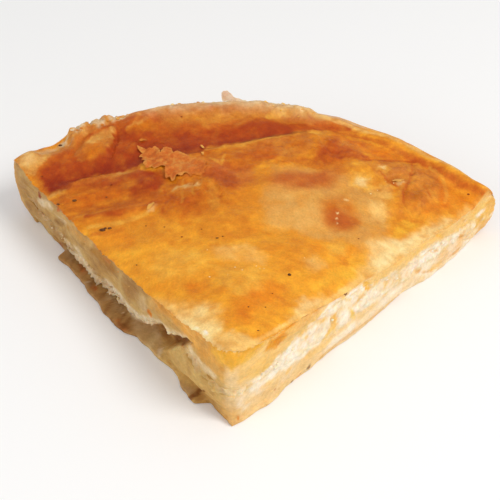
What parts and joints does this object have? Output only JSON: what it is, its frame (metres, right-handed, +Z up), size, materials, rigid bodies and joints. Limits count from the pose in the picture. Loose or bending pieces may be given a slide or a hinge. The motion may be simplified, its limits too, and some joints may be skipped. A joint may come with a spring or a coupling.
{
  "type": "cheese burek",
  "caption": "Hand-cut wedge of round pan-baked burek: browned crisp crust over stacked pastry sheets, a band of white crumbly cheese and a thin browned base.",
  "frame": {"origin": "centre of the bounding box on the flat base that the portion rests on", "axes": "+Z up, +Y from the cut tip towards the round rim, +X to the right along the rim"},
  "size_m": [0.1988, 0.1548, 0.0381],
  "materials": {
    "baked_crust": "oiled, golden to dark brown baked pastry",
    "white_cheese": "moist, crumbly fresh cheese",
    "soft_dough": "soft pale layered dough with a browned base"
  },
  "bodies": {
    "root": {"upper_pastry": "baked_crust", "cheese_filling": "white_cheese", "lower_pastry": "soft_dough"}
  },
  "joints": []
}
